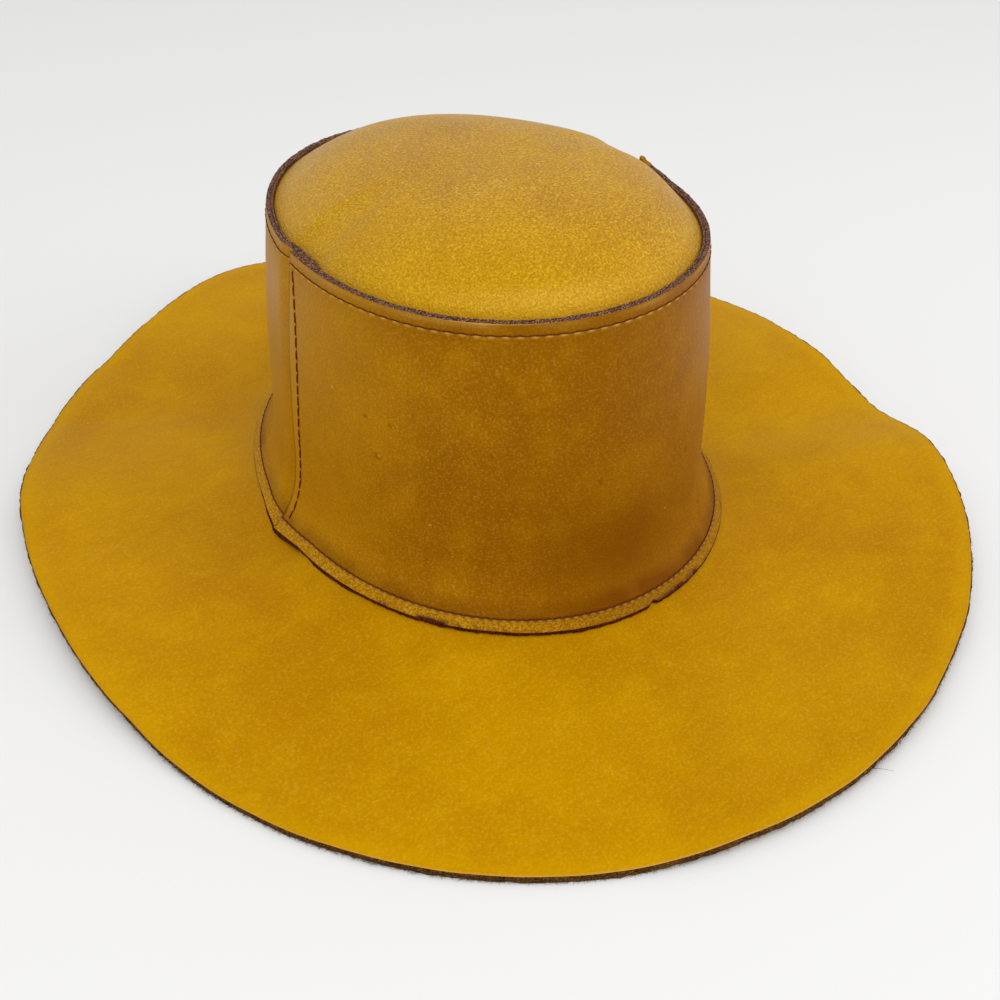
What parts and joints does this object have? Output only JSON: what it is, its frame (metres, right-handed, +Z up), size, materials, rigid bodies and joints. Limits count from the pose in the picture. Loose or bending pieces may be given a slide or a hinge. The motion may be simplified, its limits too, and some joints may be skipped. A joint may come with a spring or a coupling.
{
  "type": "leather hat with a flat-topped crown and a wide wavy brim",
  "caption": "Leather hat with a tall flat-topped oval crown, a low domed tip, lapped side seams and a wide soft brim that lies in waves.",
  "frame": {"origin": "on the surface that the hat lies on, under the middle of its outline", "axes": "+Z up through the crown, -Y towards the front panel, +X towards the seam with the raised corner"},
  "size_m": [0.348, 0.3992, 0.139],
  "materials": {
    "brim_leather": "mustard vegetable-tanned leather, smooth and waxed, satin",
    "crown_leather": "amber brown vegetable-tanned leather, smooth and waxed, satin",
    "tip_leather": "mustard vegetable-tanned leather with a fine pebble grain, satin",
    "raw_edge": "cut edge of the leather, dark brown, rough and fibrous",
    "thread": "red-brown waxed sewing thread"
  },
  "bodies": {
    "root": {"brim": "brim_leather", "crown_front_panel": "crown_leather", "crown_back_panel": "crown_leather", "crown_tip": "tip_leather"}
  },
  "joints": []
}
